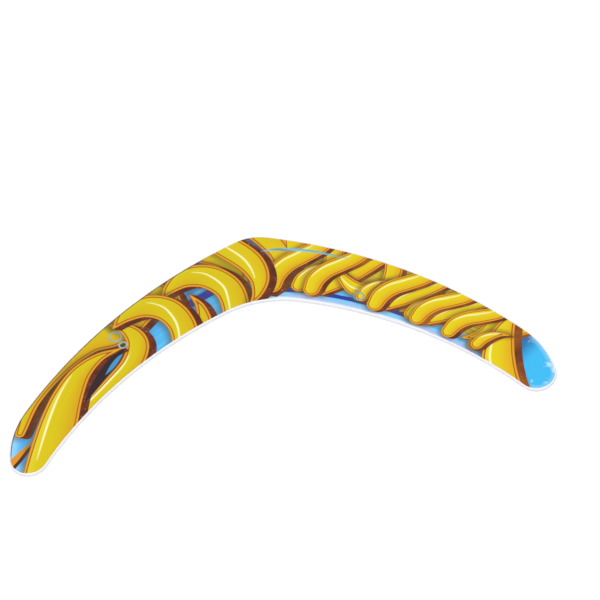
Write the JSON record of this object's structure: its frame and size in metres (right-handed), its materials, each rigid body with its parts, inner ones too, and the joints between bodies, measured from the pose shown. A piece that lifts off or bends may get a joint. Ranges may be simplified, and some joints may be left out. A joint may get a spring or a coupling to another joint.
{
  "type": "throwing boomerang",
  "caption": "Flat V-shaped throwing boomerang: laminated wood board with round tips, a white lacquered rim and a glossy printed top face.",
  "frame": {"origin": "middle of the board's footprint, on its underside", "axes": "+X towards the right tip with the printed side up, +Y from the tips towards the elbow's leading edge, +Z out of the printed face"},
  "size_m": [0.4, 0.1832, 0.0033],
  "materials": {
    "backing_film": "satin white",
    "long_grain_veneer": "sanded, unfinished",
    "cross_grain_veneer": "sanded, unfinished",
    "print_film": "colour print in yellow, orange, brown and blue",
    "gloss_laminate": "clear gloss",
    "edge_lacquer": "satin white lacquer"
  },
  "bodies": {
    "root": {"backing_film": "backing_film", "face_veneer_lower": "long_grain_veneer", "crossband_lower": "cross_grain_veneer", "core_veneer": "long_grain_veneer", "crossband_upper": "cross_grain_veneer", "face_veneer_upper": "long_grain_veneer", "print_film": "print_film", "gloss_laminate": "gloss_laminate", "edge_lacquer": "edge_lacquer"}
  },
  "joints": []
}
